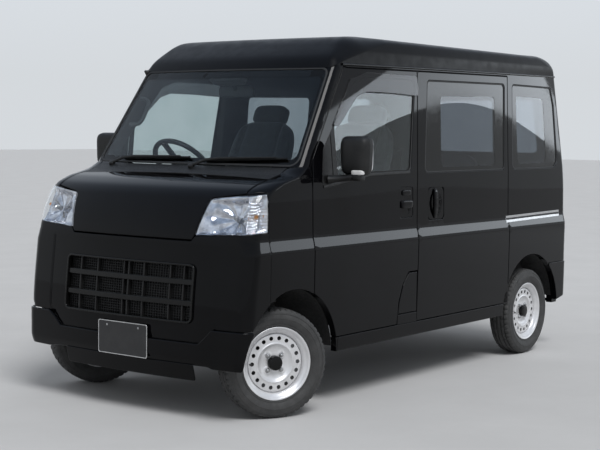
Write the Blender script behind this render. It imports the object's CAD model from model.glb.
import math

import bmesh
import bpy
import numpy as np
from mathutils import Matrix, Quaternion, Vector
from mathutils.geometry import delaunay_2d_cdt


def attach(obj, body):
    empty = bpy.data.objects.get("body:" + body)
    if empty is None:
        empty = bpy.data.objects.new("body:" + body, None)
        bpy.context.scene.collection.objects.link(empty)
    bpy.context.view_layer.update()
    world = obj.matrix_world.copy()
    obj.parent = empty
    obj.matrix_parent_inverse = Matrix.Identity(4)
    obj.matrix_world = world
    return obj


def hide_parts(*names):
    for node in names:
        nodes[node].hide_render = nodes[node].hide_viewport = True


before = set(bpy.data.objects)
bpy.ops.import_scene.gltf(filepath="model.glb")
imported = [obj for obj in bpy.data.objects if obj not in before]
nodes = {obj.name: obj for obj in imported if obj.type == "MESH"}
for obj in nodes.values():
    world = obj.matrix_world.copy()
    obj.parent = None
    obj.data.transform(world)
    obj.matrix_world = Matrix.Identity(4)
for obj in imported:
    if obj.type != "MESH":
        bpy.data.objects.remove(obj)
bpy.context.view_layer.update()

# Kei cargo van with a high roof. Metres: +X forward, +Y the vehicle's left, +Z up.

# Overall sizes
nose_x = 1.6945
tail_x = -1.6945
front_axle = (1.2775, 0.265)
rear_axle = (-1.1725, 0.265)
arch_front = 0.355
arch_rear = 0.362
gap = 0.006
skin_proud = 0.0018
skin_grow = 0.0006
skin_rim = 0.003

# Body sections from the bottom up: level, half width, taper, nose, nose fall, nose corner radius,
# tail, tail fall, tail corner radius
SECTIONS = np.array((
    (182, 712, 0, -31, 52, 85, 34, 18, 80),
    (262, 729, 0, -11, 54, 75, 12, 18, 75),
    (310, 733, 0, 0, 56, 70, 0, 18, 70),
    (450, 734.5, 0, -1, 56, 70, 0, 18, 68),
    (800, 737.5, 0, -31, 58, 75, 5, 18, 64),
    (862, 723, 0, -38, 58, 75, 6, 18, 62),
    (1050, 719, 0, -106, 60, 80, 8, 18, 60),
    (1092, 718, 2, -145, 62, 85, 8, 18, 60),
    (1125, 717, 3, -217, 66, 90, 9, 18, 60),
    (1163, 715, 4, -357, 72, 90, 10, 18, 60),
    (1200, 712, 6, -427, 84, 60, 11, 18, 58),
    (1715, 687, 42, -784, 66, 48, 36, 20, 56),
    (1800, 682.8, 48, -843, 66, 48, 40, 20, 56),
)) / 1000
cowl_z = 1.200
profile_low_z = 0.84
body_middle = (0, 0, 0.9)

# Surfaces of the body

def slopes(x, y):
    """Knot slopes for a curve through the points that never overshoots."""
    h, d = np.diff(x), np.diff(y) / np.diff(x)
    m = np.zeros(len(x))
    m[0], m[-1] = d[0], d[-1]
    for i in range(1, len(x) - 1):
        if d[i - 1] * d[i] > 0:
            w1, w2 = 2 * h[i] + h[i - 1], h[i] + 2 * h[i - 1]
            m[i] = (w1 + w2) / (w1 / d[i - 1] + w2 / d[i])
    return m


def curve_at(x, y, at):
    """The same curve's value at any place."""
    x, y, at = np.asarray(x, float), np.asarray(y, float), np.asarray(at, float)
    m = slopes(x, y)
    i = np.clip(np.searchsorted(x, at) - 1, 0, len(x) - 2)
    h = x[i + 1] - x[i]
    t = np.clip((at - x[i]) / h, 0, 1)
    return ((1 + 2 * t) * (1 - t) ** 2 * y[i] + t * (1 - t) ** 2 * h * m[i]
            + t * t * (3 - 2 * t) * y[i + 1] + t * t * (t - 1) * h * m[i + 1])


def column(index, z, window):
    """One column of the section table at any level, with its corners rounded over a window."""
    shifts = np.linspace(-window, window, 7)
    return np.mean([np.interp(z + s, SECTIONS[:, 0], SECTIONS[:, index]) for s in shifts], axis=0)


def nose_at(z):
    low = SECTIONS[SECTIONS[:, 0] <= cowl_z + 1e-6]
    rising = curve_at(low[:, 0], low[:, 3], z)
    straight = np.interp(z, SECTIONS[:, 0], SECTIONS[:, 3])
    return nose_x + np.where(z > cowl_z, straight, rising)


class Level:
    """The body's plan outline at one level or at an array of levels."""

    def __init__(self, z):
        z = np.asarray(z, float)
        self.w = column(1, z, 0.009)
        self.taper = column(2, z, 0.02)
        self.nose = nose_at(z)
        self.fall = column(4, z, 0.02)
        self.radius = column(5, z, 0.02)
        self.tail = tail_x + column(6, z, 0.02)
        self.tail_fall = column(7, z, 0.02)
        self.tail_radius = column(8, z, 0.02)
        self.mid = (self.nose + self.tail) / 2
        self.end = self.w - self.taper
        self.front = self.corner(self.nose, self.fall, self.radius, 1)
        self.rear = self.corner(self.tail, self.tail_fall, self.tail_radius, -1)

    def side_y(self, x):
        reach = np.where(x > self.mid, self.nose - self.fall - self.mid,
                         self.tail + self.tail_fall - self.mid)
        return self.w - self.taper * ((x - self.mid) / reach) ** 2

    def corner(self, tip, fall, radius, way):
        """The rounded corner between an end and the side: its centre's x, side y, last end y and angle."""
        side = self.end
        for _ in range(5):
            y1 = side - radius * 0.85
            for _ in range(4):
                angle = np.arctan(2 * fall * y1 / self.end ** 2)
                y1 = side - radius * (1 - np.sin(angle))
            centre = tip - way * (fall * (y1 / self.end) ** 2 + radius * np.cos(angle))
            side = self.side_y(centre)
        return centre, side, y1, angle

    def walk(self, a, way):
        """From a side coordinate past the corner's centre to a place on the corner or the end."""
        centre, side, y1, angle = self.front if way > 0 else self.rear
        radius = self.radius if way > 0 else self.tail_radius
        tip, fall = (self.nose, self.fall) if way > 0 else (self.tail, self.tail_fall)
        past = way * (a - centre)
        arc = radius * (math.pi / 2 - angle)
        turn = math.pi / 2 - np.clip(past, 0, arc) / radius
        x_arc = centre + way * radius * np.cos(turn)
        y_arc = side - radius + radius * np.sin(turn)
        y_end = y1 - (past - arc)
        x_end = tip - way * fall * (y_end / self.end) ** 2
        on_side, on_end = past <= 0, past > arc
        x = np.where(on_side, a, np.where(on_end, x_end, x_arc))
        y = np.where(on_side, self.side_y(np.where(on_side, a, centre)), np.where(on_end, y_end, y_arc))
        return x, y

    def to_side(self, y, way):
        """The side coordinate of a place on the end, given by its distance from the centre plane."""
        centre, _, y1, angle = self.front if way > 0 else self.rear
        radius = self.radius if way > 0 else self.tail_radius
        return centre + way * (radius * (math.pi / 2 - angle) + (y1 - y))


def on_side(a, z):
    level = Level(z)
    xf, yf = level.walk(a, 1)
    xr, yr = level.walk(a, -1)
    front = a > level.mid
    return np.stack([np.where(front, xf, xr), np.where(front, yf, yr), z], -1)


def on_end(s, z, way):
    """A place on the front or rear face, given by the distance from the centre along the outline."""
    level = Level(z)
    x, y = level.walk(level.to_side(np.abs(s), way), way)
    return np.stack([x, np.sign(s) * y, z], -1)


def on_nose(s, z):
    return on_end(s, z, 1)


def on_tail(s, z):
    return on_end(s, z, -1)


profile_z = np.linspace(profile_low_z, cowl_z - 0.004, 400)
profile_x = nose_at(profile_z)
profile_run = np.concatenate([[0], np.cumsum(np.hypot(np.diff(profile_x), np.diff(profile_z)))])


def run_at(z):
    return np.interp(z, profile_z, profile_run)


def on_bonnet(y, b):
    z = np.interp(b, profile_run, profile_z)
    level = Level(z)
    return np.stack([level.nose - level.fall * (y / level.end) ** 2, y, z], -1)


def side_of(y, z, way=1):
    return float(Level(z).to_side(y, way))


def surface(place, uv, height):
    """Points on a surface lifted along its outward normal, and the normals."""
    a, b = uv[:, 0], uv[:, 1]
    e = 0.0006
    p = place(a, b)
    da = place(a + e, b) - place(a - e, b)
    db = place(a, b + e) - place(a, b - e)
    n = np.cross(da, db)
    n /= np.linalg.norm(n, axis=1)[:, None]
    n *= np.sign((n * (p - np.array(body_middle))).sum(1))[:, None]
    ta = da / np.linalg.norm(da, axis=1)[:, None]
    tb = db / np.linalg.norm(db, axis=1)[:, None]
    return p + n * np.asarray(height).reshape(-1, 1), n, ta, tb


# Outlines

def rounded(points, radius=0.0, step=0.03):
    """A closed outline with rounded corners and no long edges. A radius may be given for each corner."""
    p = np.asarray(points, float)
    n = len(p)
    radii = np.full(n, radius) if np.isscalar(radius) else np.asarray(radius, float)
    out = []
    for i in range(n):
        back, ahead = p[i - 1] - p[i], p[(i + 1) % n] - p[i]
        lb, la = np.linalg.norm(back), np.linalg.norm(ahead)
        ub, ua = back / lb, ahead / la
        turn = math.pi - math.acos(np.clip(ub @ ua, -1, 1))
        if radii[i] <= 0 or turn < math.radians(12):
            out.append(p[i])
            continue
        reach = min(radii[i] * math.tan(turn / 2), 0.45 * lb, 0.45 * la)
        r = reach / math.tan(turn / 2)
        start, stop = p[i] + ub * reach, p[i] + ua * reach
        centre = p[i] + (ub + ua) / np.linalg.norm(ub + ua) * math.hypot(r, reach)
        count = max(2, int(math.degrees(turn) / 12) + 1)
        a0, a1 = start - centre, stop - centre
        for k in range(count + 1):
            t = k / count
            s = math.sin(turn)
            out.append(centre + a0 * math.sin((1 - t) * turn) / s + a1 * math.sin(t * turn) / s
                       if s > 1e-6 else centre + a0 * (1 - t) + a1 * t)
    out = np.array(out)
    fine = []
    for i in range(len(out)):
        a, b = out[i], out[(i + 1) % len(out)]
        length = np.linalg.norm(b - a)
        if length < 1e-5:
            continue
        count = max(1, math.ceil(length / step))
        fine.extend(a + (b - a) * k / count for k in range(count))
    return np.array(fine)


def signed_area(loop):
    x, y = loop[:, 0], loop[:, 1]
    return 0.5 * np.sum(x * np.roll(y, -1) - np.roll(x, -1) * y)


def inward(loop):
    """For each corner of a loop, the direction to its left, long enough to keep an even margin."""
    ahead = np.roll(loop, -1, 0) - loop
    ahead /= np.linalg.norm(ahead, axis=1)[:, None]
    left = np.stack([-ahead[:, 1], ahead[:, 0]], -1)
    both = left + np.roll(left, 1, 0)
    both /= np.linalg.norm(both, axis=1)[:, None]
    share = np.clip((both * left).sum(1), 0.5, 1)
    return both / share[:, None]


def grown(points, amount):
    """A polygon's corners moved out by an even margin."""
    p = np.asarray(points, float)
    if signed_area(p) < 0:
        return grown(p[::-1], amount)[::-1]
    ahead = np.roll(p, -1, 0) - p
    ahead /= np.linalg.norm(ahead, axis=1)[:, None]
    left = np.stack([-ahead[:, 1], ahead[:, 0]], -1)
    both = left + np.roll(left, 1, 0)
    return p - amount * both * (2 / (both ** 2).sum(1))[:, None]


def arc_points(centre, radius, start, stop, count=24):
    """Points on an arc between two angles in degrees."""
    angles = np.radians(np.linspace(start, stop, count))
    return [(centre[0] + radius * math.cos(t), centre[1] + radius * math.sin(t)) for t in angles]


def inside(points, loops):
    """Which points lie inside a set of loops, by the even-odd rule."""
    odd = np.zeros(len(points), bool)
    for loop in loops:
        a, b = loop, np.roll(loop, -1, 0)
        for i in range(0, len(points), 4000):
            q = points[i:i + 4000]
            cross = (a[None, :, 1] > q[:, None, 1]) != (b[None, :, 1] > q[:, None, 1])
            with np.errstate(divide="ignore", invalid="ignore"):
                x = (a[None, :, 0] + (q[:, None, 1] - a[None, :, 1]) * (b - a)[None, :, 0]
                     / (b - a)[None, :, 1])
            odd[i:i + 4000] ^= (np.sum(cross & (q[:, None, 0] < x), 1) % 2).astype(bool)
    return odd


def nearest(points, loops):
    """Each point's distance from the closest corner of the loops."""
    corners = np.concatenate(loops)
    return np.concatenate([np.sqrt(((points[i:i + 2000, None] - corners[None]) ** 2).sum(2)).min(1)
                           for i in range(0, len(points), 2000)]) if len(points) else np.zeros(0)

# Mesh helpers

rim_margin = 0.0015
least_wall = 0.0006

def linked(name, data):
    """An object in the scene for a mesh, a light or a camera."""
    thing = bpy.data.objects.new(name, data)
    bpy.context.scene.collection.objects.link(thing)
    return thing


def make_mesh(name, verts, faces, normals=None, flip=False, crease=None):
    """A smooth mesh. Corners sharper than crease, in degrees, stay sharp."""
    mesh = bpy.data.meshes.new(name)
    faces = [tuple(int(i) for i in f) for f in faces]
    if flip:
        faces = [f[::-1] for f in faces]
    mesh.from_pydata([tuple(map(float, v)) for v in verts], [], faces)
    if normals is None and len(faces) > 4:
        work = bmesh.new()
        work.from_mesh(mesh)
        bmesh.ops.recalc_face_normals(work, faces=work.faces)
        work.to_mesh(mesh)
        work.free()
    mesh.polygons.foreach_set("use_smooth", [True] * len(mesh.polygons))
    if normals is not None:
        mesh.normals_split_custom_set_from_vertices([tuple(map(float, n)) for n in normals])
    mesh.update()
    if crease:
        mesh.set_sharp_from_angle(angle=math.radians(crease))
    return linked(name, mesh)


def taken(piece):
    """A helper piece's corners and faces, for use in another one. The helper goes."""
    verts = [tuple(v.co) for v in piece.data.vertices]
    faces = [tuple(p.vertices) for p in piece.data.polygons]
    bpy.data.objects.remove(piece)
    return verts, faces


def moved(points, place):
    """Points put in place by a matrix."""
    m = np.array(place)
    return np.asarray(points) @ m[:3, :3].T + m[:3, 3]


def quads(rows, cols, loop_rows=False, loop_cols=False, turn=False):
    """Faces of a grid of points that are numbered row by row."""
    faces = []
    for i in range(rows if loop_rows else rows - 1):
        for j in range(cols if loop_cols else cols - 1):
            a, b, k = i * cols, (i + 1) % rows * cols, (j + 1) % cols
            faces.append((a + j, b + j, b + k, a + k) if turn else (a + j, a + k, b + k, b + j))
    return faces


def dress(piece, material, body, replaces=()):
    """Gives a piece its material, the body it rides on and the nodes it stands for."""
    piece.data.materials.append(material)
    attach(piece, body)
    if replaces:
        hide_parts(*replaces)
    return piece


def panel(name, place, outer, holes=(), cols=(), rows=(), proud=skin_proud, rim=skin_rim, depth=0.0012,
          side=1, margin=0.006, lift=None, follow=False):
    """A thin closed skin over a surface: an outline with holes, rounded over at every edge.
    lift gives an extra height for places on the surface, which the back keeps too with follow."""
    raised = lift or (lambda uv: np.zeros(len(uv)))
    follow = follow or depth <= 0
    loops = [outer if signed_area(outer) > 0 else outer[::-1]]
    loops += [h if signed_area(h) < 0 else h[::-1] for h in holes]
    turns = [inward(loop) for loop in loops]
    inner = [loop + d * (rim + rim_margin) for loop, d in zip(loops, turns)]
    grid = np.array([(a, b) for a in cols for b in rows]).reshape(-1, 2)
    if len(grid):
        grid = grid[inside(grid, inner)]
        grid = grid[nearest(grid, inner) > margin]
    edges, start = [], 0
    for loop in inner:
        edges += [(start + i, start + (i + 1) % len(loop)) for i in range(len(loop))]
        start += len(loop)
    points, _, triangles, kept, _, _ = delaunay_2d_cdt(
        [Vector((float(x), float(y))) for x, y in np.concatenate(inner + [grid])], edges, [], 0, 1e-7)
    flat, tri = np.array([tuple(p) for p in points]), np.array(list(triangles))
    tri = tri[inside(flat[tri].mean(1), inner)]
    index = {}
    for i, source in enumerate(kept):
        if source:
            index.setdefault(source[0], i)
    v, n, _, _ = surface(place, flat, proud + raised(flat))
    a, b, c = (v[tri[:, k]] for k in range(3))
    wrong = (np.cross(b - a, c - a) * n[tri[:, 0]]).sum(1) < 0
    tri[wrong] = tri[wrong][:, ::-1]
    flip_edges = wrong.mean() > 0.5
    back_v, back_n, _, _ = surface(place, flat, raised(flat) - depth if follow
                                   else np.minimum(-depth, proud + raised(flat) - least_wall))
    back = len(flat)
    verts, normals = [v, back_v], [n, -back_n]
    faces = [tuple(t) for t in tri] + [tuple(int(i) + back for i in t[::-1]) for t in tri]

    def close(ring, other):
        for i in range(len(ring)):
            j = (i + 1) % len(ring)
            quad = (ring[i], other[i], other[j], ring[j])
            faces.append(quad[::-1] if flip_edges else quad)

    start, count = 0, 2 * back
    steps = [(rim * (1 - math.sin(t)), t) for t in np.radians((0, 22.5, 45, 67.5, 90))] + [(0.0, None)]
    for loop, d in zip(loops, turns):
        corners = range(start, start + len(loop))
        previous = [index[i] for i in corners]
        unit = -d / np.linalg.norm(d, axis=1)[:, None]
        for inset, angle in steps:
            ring = loop + d * inset
            if angle is None:
                height = -depth + raised(ring) * follow
            else:
                height = proud - rim * (1 - math.cos(angle)) + raised(ring)
            p, n, ta, tb = surface(place, ring, height)
            out = ta * unit[:, :1] + tb * unit[:, 1:]
            out /= np.linalg.norm(out, axis=1)[:, None]
            t = math.pi / 2 if angle is None else angle
            verts.append(p)
            normals.append(n * math.cos(t) + out * math.sin(t))
            current = list(range(count, count + len(loop)))
            close(previous, current)
            previous, count = current, count + len(loop)
        close(previous, [index[i] + back for i in corners])
        start += len(loop)
    flip = np.array((1, side, 1))
    return make_mesh(name, np.concatenate(verts) * flip, faces, np.concatenate(normals) * flip, flip=side < 0)


def shell(name, rows, thickness, centre, loop=False, side=1):
    """A closed shell: a grid of points thickened toward a centre. loop joins its last column to the first."""
    g = np.asarray(rows, float)
    nr, nc = g.shape[:2]
    du = np.roll(g, -1, 1) - np.roll(g, 1, 1)
    dv = np.roll(g, -1, 0) - np.roll(g, 1, 0)
    if not loop:
        du[:, 0], du[:, -1] = g[:, 1] - g[:, 0], g[:, -1] - g[:, -2]
    dv[0], dv[-1] = g[1] - g[0], g[-1] - g[-2]
    n = np.cross(du, dv)
    n /= np.maximum(np.linalg.norm(n, axis=2), 1e-12)[..., None]
    if (n * (g - np.asarray(centre))).sum(2).mean() < 0:
        n = -n
    flat, n = g.reshape(-1, 3), n.reshape(-1, 3)
    faces = quads(nr, nc, loop_cols=loop)
    f = faces[len(faces) // 2]
    turn = np.cross(flat[f[1]] - flat[f[0]], flat[f[2]] - flat[f[0]]) @ n[f[0]] < 0
    if turn:
        faces = [q[::-1] for q in faces]
    count = len(flat)
    verts = np.concatenate([flat, flat - n * thickness])
    faces += [tuple(i + count for i in q[::-1]) for q in faces]
    borders = [list(range(nc)), list(range(count - nc, count))[::-1]]
    if not loop:
        borders += [list(range(0, count, nc))[::-1], list(range(nc - 1, count, nc))]
    for border in borders:
        for i, j in zip(border, border[1:] + border[:loop]):
            q = (j, i, i + count, j + count)
            faces.append(q[::-1] if turn else q)
    return make_mesh(name, verts * np.array((1, side, 1)), faces, flip=side < 0)


# Solid shapes for the smaller pieces

def soft_box(name, centre, size, power=6.0, cells=18, shape=None, turn=None):
    """A closed block with rounded faces. shape moves its points, given and returned in -1 to 1."""
    lines = np.tan(np.linspace(-math.pi / 4, math.pi / 4, cells + 1))
    verts, faces, seen = [], [], {}
    for axis in range(3):
        for way in (-1, 1):
            ids = np.zeros((cells + 1, cells + 1), int)
            for i, a in enumerate(lines):
                for j, b in enumerate(lines):
                    p = np.zeros(3)
                    p[axis], p[(axis + 1) % 3], p[(axis + 2) % 3] = way, a, b
                    key = tuple(np.round(p, 6))
                    if key not in seen:
                        seen[key] = len(verts)
                        verts.append(p)
                    ids[i, j] = seen[key]
            for i in range(cells):
                for j in range(cells):
                    quad = (ids[i, j], ids[i + 1, j], ids[i + 1, j + 1], ids[i, j + 1])
                    faces.append(quad if way > 0 else quad[::-1])
    v = np.array(verts)
    v = v / (np.abs(v) ** power).sum(1)[:, None] ** (1 / power)
    if shape:
        v = shape(v)
    v = v * np.array(size) / 2
    if turn is not None:
        v = v @ turn.T
    return make_mesh(name, v + np.array(centre), faces)


def leaned(angle):
    """A turn about the Y axis, in degrees."""
    return np.array(Matrix.Rotation(math.radians(angle), 3, "Y"))


def spun(name, profile, place, count=96, closed=True, crease=None):
    """A ring of a profile (radius, height) spun about the local Z axis, then put in place."""
    p = np.asarray(profile, float)
    angles = np.linspace(0, 2 * math.pi, count, endpoint=False)
    ring = np.stack([np.outer(np.cos(angles), p[:, 0]), np.outer(np.sin(angles), p[:, 0]),
                     np.tile(p[:, 1], (count, 1))], -1)
    return make_mesh(name, moved(ring.reshape(-1, 3), place), quads(count, len(p), True, closed, True),
                     crease=crease)


def joined(name, pieces):
    """One piece out of several."""
    verts, faces = [], []
    for piece in pieces:
        more, sides = taken(piece)
        faces += [tuple(i + len(verts) for i in f) for f in sides]
        verts += more
    return make_mesh(name, verts, faces, crease=38)


def tube(name, points, radius, sides=12, flat=(1.0, 1.0)):
    """A closed tube along points; radius may change along it, flat squeezes its section."""
    p = np.asarray(points, float)
    n = len(p)
    radii = np.full(n, radius) if np.isscalar(radius) else np.asarray(radius, float)
    ahead = np.gradient(p, axis=0)
    ahead /= np.linalg.norm(ahead, axis=1)[:, None]
    ref = np.array((0, 0, 1.0)) if abs(ahead[0][2]) < 0.9 else np.array((1.0, 0, 0))
    verts = []
    for i in range(n):
        u = np.cross(ref, ahead[i])
        u /= np.linalg.norm(u)
        w = np.cross(ahead[i], u)
        for k in range(sides):
            t = 2 * math.pi * k / sides
            verts.append(p[i] + radii[i] * (u * math.cos(t) * flat[0] + w * math.sin(t) * flat[1]))
    ends = [tuple(range(sides))[::-1], tuple((n - 1) * sides + k for k in range(sides))]
    return make_mesh(name, verts, quads(n, sides, loop_cols=True) + ends, crease=50)


def strip(name, place, path, section, closed=False, side=1):
    """A moulding along a path on a surface. The section is a closed outline (across, height)."""
    uv = np.asarray(path, float)
    ahead = (np.roll(uv, -1, 0) - np.roll(uv, 1, 0)) if closed else np.gradient(uv, axis=0)
    ahead /= np.linalg.norm(ahead, axis=1)[:, None]
    across = np.stack([-ahead[:, 1], ahead[:, 0]], -1)
    rings = [surface(place, uv + across * u, np.full(len(uv), h))[0] for u, h in section]
    grid = np.array(rings).transpose(1, 0, 2)
    nr, nc = grid.shape[:2]
    flat = grid.reshape(-1, 3)
    faces = quads(nr, nc, closed, True, True)
    if not closed:
        faces += [tuple(range(nc)), tuple((nr - 1) * nc + j for j in range(nc))[::-1]]
    f = faces[0]
    normal = np.cross(flat[f[1]] - flat[f[0]], flat[f[3]] - flat[f[0]])
    if normal @ ((flat[f[0]] + flat[f[3]]) / 2 - flat[:nc].mean(0)) < 0:
        faces = [q[::-1] for q in faces]
    return make_mesh(name, flat * np.array((1, side, 1)), faces, flip=side < 0, crease=40)


def dense(points, step=0.02):
    """An open path with no long runs."""
    p = np.asarray(points, float)
    out = [p[0]]
    for a, b in zip(p, p[1:]):
        count = max(1, math.ceil(np.linalg.norm(b - a) / step))
        out += [a + (b - a) * k / count for k in range(1, count + 1)]
    return np.array(out)


def bead(width, low, high, round_by=0.3, count=5):
    """A moulding's section: flat below, rounded at both top edges."""
    r = min(width, high - low) * round_by
    half = width / 2
    right = [(half - r + r * math.sin(t), high - r + r * math.cos(t))
             for t in np.linspace(0, math.pi / 2, count)]
    return [(-u, h) for u, h in right[::-1]] + right + [(half, low), (-half, low)]


def skin(name, material, body, *args, slot=None, replaces=(), **more):
    """A dressed panel. The next two are a dressed strip and a dressed soft box."""
    return dress(panel(name, *args, **more), material, body, replaces)


def moulding(name, material, body, *args):
    return dress(strip(name, *args), material, body)


def block(name, material, body, *args, slot=None, replaces=()):
    return dress(soft_box(name, *args), material, body, replaces)

# Materials

def feed(shader, inputs):
    """Sets a shader node's inputs. Each is a value, or the output that feeds it."""
    for key, value in inputs.items():
        if isinstance(value, bpy.types.NodeSocket):
            shader.id_data.links.new(value, shader.inputs[key])
        else:
            shader.inputs[key].default_value = value
    return shader.outputs[0]


def add(tree, kind, inputs, **settings):
    """A shader node's first output."""
    made = tree.nodes.new("ShaderNode" + kind)
    for key, value in settings.items():
        setattr(made, key, value)
    return feed(made, inputs)


def new_material(name):
    material = bpy.data.materials.new(name)
    material.use_nodes = True
    tree = material.node_tree
    tree.nodes.clear()
    shader = tree.nodes.new("ShaderNodeBsdfPrincipled")
    tree.links.new(shader.outputs[0], tree.nodes.new("ShaderNodeOutputMaterial").inputs[0])
    return material, tree, shader


def noise(tree, scale, detail=3, stretch=(1, 1, 1)):
    place = tree.nodes.new("ShaderNodeTexCoord").outputs["Object"]
    spread = add(tree, "Mapping", {0: place, "Scale": stretch})
    return add(tree, "TexNoise", {"Vector": spread, "Scale": scale, "Detail": detail})


def between(tree, value, low, high):
    return add(tree, "MapRange", {0: value, "From Min": 0.3, "From Max": 0.7, "To Min": low, "To Max": high})


def tint(tree, value, low, high):
    ramp = tree.nodes.new("ShaderNodeValToRGB")
    for element, position, colour in zip(ramp.color_ramp.elements, (0.3, 0.7), (low, high)):
        element.position, element.color = position, (*colour, 1)
    return feed(ramp, {0: value})


def relief(tree, height, strength, distance):
    return add(tree, "Bump", {"Height": height, "Strength": strength, "Distance": distance})


def surface_material(name, low, high, rough, scale=8, bump=0.0, bump_scale=60, bump_distance=0.001,
                     stretch=(1, 1, 1), **sockets):
    """A material whose colour, roughness and relief vary over the surface."""
    material, tree, shader = new_material(name)
    inputs = {"Base Color": tint(tree, noise(tree, scale, 3, stretch), low, high),
              "Roughness": between(tree, noise(tree, scale * 6, 4, stretch), *rough)}
    if bump:
        inputs["Normal"] = relief(tree, noise(tree, bump_scale, 4, stretch), bump, bump_distance)
    inputs.update({key.replace("_", " "): value for key, value in sockets.items()})
    feed(shader, inputs)
    return material


def grey(value, blue=0.0):
    return (value, value, value + blue)


def glass_material(name, low, high, rough):
    """Clear or tinted glass with faint dust that makes it uneven."""
    material, tree, shader = new_material(name)
    feed(shader, {"Base Color": tint(tree, noise(tree, 5), low, high),
                  "Roughness": between(tree, noise(tree, 30), rough, rough + 0.003),
                  "Transmission Weight": 1.0, "IOR": 1.3, "Specular IOR Level": 0.3})
    return material


def fabric_material(name, low, high):
    """Woven seat cloth with crossed threads."""
    material, tree, shader = new_material(name)
    place = tree.nodes.new("ShaderNodeTexCoord").outputs["Object"]
    x, y, z = (add(tree, "TexWave", {"Scale": 160, "Distortion": 1.5, "Vector": place}, bands_direction=axis)
               .node.outputs["Fac"] for axis in "XYZ")
    height = add(tree, "Math", {0: add(tree, "Math", {0: x, 1: y}, operation="MULTIPLY"), 1: z},
                 operation="ADD")
    feed(shader, {"Normal": relief(tree, height, 0.5, 0.0008),
                  "Base Color": tint(tree, noise(tree, 40), low, high),
                  "Roughness": between(tree, noise(tree, 200), 0.8, 0.95), "Sheen Weight": 0.4})
    return material


paint = surface_material("black_paint", grey(0.0015, 0.0004), grey(0.0028, 0.0008), (0.03, 0.06), 3,
                         Specular_IOR_Level=0.15)
roof_paint = surface_material("roof_paint", grey(0.0015, 0.0004), grey(0.0028, 0.0008), (0.30, 0.40), 3,
                              Specular_IOR_Level=0.12)
underbody = surface_material("underbody_paint", grey(0.010), grey(0.022), (0.5, 0.8), 12, 0.3, 90)
inner_paint = surface_material("inner_paint", grey(0.018), grey(0.03), (0.55, 0.75), 10, 0.15, 120)
engine_metal = surface_material("engine_metal", grey(0.10), grey(0.22), (0.4, 0.6), 14, 0.3, 80, Metallic=0.9)
exhaust_steel = surface_material("exhaust_steel", (0.20, 0.18, 0.16), (0.34, 0.32, 0.30), (0.35, 0.5), 20,
                                 0.2, 60, Metallic=1.0)
wheel_silver = surface_material("wheel_silver", grey(0.66, 0.01), grey(0.76, 0.01), (0.30, 0.42), 20, 0.05,
                                220, 0.0004, Metallic=0.45)
lamp_chrome = surface_material("lamp_reflector", grey(0.40, 0.02), grey(0.80, 0.03), (0.05, 0.10), 24,
                               Metallic=1.0)
marker_white = surface_material("marker_lens", grey(0.66), grey(0.74), (0.15, 0.25), 40)
rail_silver = surface_material("rail_silver", grey(0.42), grey(0.55), (0.25, 0.4), 30, 0.05, 300,
                               stretch=(1, 8, 8), Metallic=0.85)
nut_steel = surface_material("nut_steel", grey(0.30), grey(0.45), (0.25, 0.4), 60, Metallic=1.0)
chrome = surface_material("lamp_chrome", grey(0.80, 0.02), grey(0.90, 0.02), (0.04, 0.10), 25, 0.05, 80,
                          Metallic=1.0)
rubber = surface_material("tyre_rubber", grey(0.034), grey(0.052), (0.6, 0.85), 30, 0.25, 260, 0.0006)
plastic = surface_material("black_plastic", grey(0.006), grey(0.012), (0.42, 0.6), 20, 0.25, 700, 0.0003,
                           Specular_IOR_Level=0.35)
gloss_plastic = surface_material("gloss_plastic", grey(0.003), grey(0.005), (0.14, 0.24), 14, 0.02, 400,
                                 Specular_IOR_Level=0.25)
cabin_plastic = surface_material("cabin_plastic", grey(0.030, 0.002), grey(0.050, 0.002), (0.5, 0.7), 20,
                                 0.3, 800, 0.0003)
frit = surface_material("glass_border", grey(0.002), grey(0.004), (0.06, 0.12), 10, Specular_IOR_Level=0.22)
seal = surface_material("window_seal", grey(0.008), grey(0.014), (0.5, 0.7), 40, 0.1, 300)
plate_blank = surface_material("plate_blank", grey(0.012, 0.001), grey(0.020, 0.001), (0.35, 0.5), 18, 0.1,
                               120)
plate_edge = surface_material("plate_edge", grey(0.50), grey(0.66), (0.25, 0.4), 40, Metallic=0.6)
floor_grey = surface_material("studio_floor", grey(0.56, 0.004), grey(0.59, 0.004), (0.75, 0.9), 2, 0.05, 60)
clear_glass = glass_material("clear_glass", (0.66, 0.74, 0.74), (0.72, 0.79, 0.79), 0.0)
tinted_glass = glass_material("tinted_glass", (0.30, 0.33, 0.36), (0.34, 0.37, 0.40), 0.0)
lens_glass = glass_material("lens_clear", (0.93, 0.95, 0.96), (0.96, 0.97, 0.98), 0.0)
red_lens = glass_material("tail_lamp_red", (0.45, 0.008, 0.008), (0.60, 0.015, 0.012), 0.03)
amber = glass_material("bulb_amber", (0.80, 0.30, 0.04), (0.85, 0.38, 0.06), 0.05)
visor_glass = glass_material("visor_smoke", (0.12, 0.12, 0.13), (0.15, 0.15, 0.16), 0.02)
cloth = fabric_material("seat_cloth", grey(0.030, 0.003), grey(0.055, 0.005))

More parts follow.
